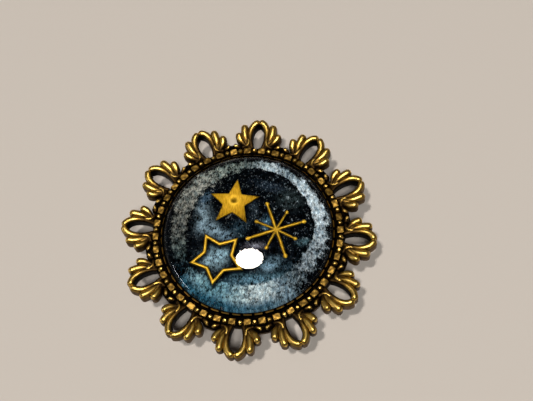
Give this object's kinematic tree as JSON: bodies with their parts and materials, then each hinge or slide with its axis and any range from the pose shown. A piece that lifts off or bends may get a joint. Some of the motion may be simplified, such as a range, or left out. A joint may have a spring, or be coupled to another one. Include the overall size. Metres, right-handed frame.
{
  "type": "cabochon brooch",
  "caption": "Round cabochon brooch: a pierced filigree setting holds a painted disc, star charms and a clear dome; on its back are a hinged needle and a turning safety catch.",
  "frame": {"origin": "below the centre of the dome, level with the lowest point of the pin work on the back", "axes": "+Z is the way the face looks, +Y runs from the centre through one of the loops, +X is to its right and points at the needle's hinge"},
  "size_m": [0.0454, 0.0454, 0.012],
  "materials": {
    "antique_bronze": "antiqued casting, bright on the raised edges and dark in the recesses",
    "painted_disc": "night-sky painting under resin",
    "gilt_charm": "brushed gilt",
    "clear_dome": "polished clear cabochon",
    "nickelled_steel": "nickelled, satin",
    "soft_solder": "matt solder"
  },
  "bodies": {
    "brooch": {"filigree_setting": "antique_bronze", "painted_backing": "painted_disc", "solid_star_charm": "gilt_charm", "open_star_charm": "gilt_charm", "starburst_charm": "gilt_charm", "clear_dome": "clear_dome", "solder_bed": "soft_solder", "pin_bar": "antique_bronze", "hinge_bracket": "nickelled_steel", "hinge_bracket_rivet": "nickelled_steel", "hinge_rivet": "nickelled_steel", "catch_housing": "antique_bronze", "catch_rivet": "nickelled_steel"},
    "pin_stem": {"pin_stem": "nickelled_steel"},
    "catch_roller": {"catch_roller": "antique_bronze"}
  },
  "joints": [
    {"name": "pin_hinge", "type": "hinge", "parent": "brooch", "child": "pin_stem", "pos_m": [0.0114, 0, 0.0019], "axis": [0, -1, 0], "range_deg": [0, 100]},
    {"name": "catch_turn", "type": "hinge", "parent": "brooch", "child": "catch_roller", "pos_m": [-0.0109, 0, 0.0019], "axis": [1, 0, 0], "range_deg": [0, 100]}
  ]
}
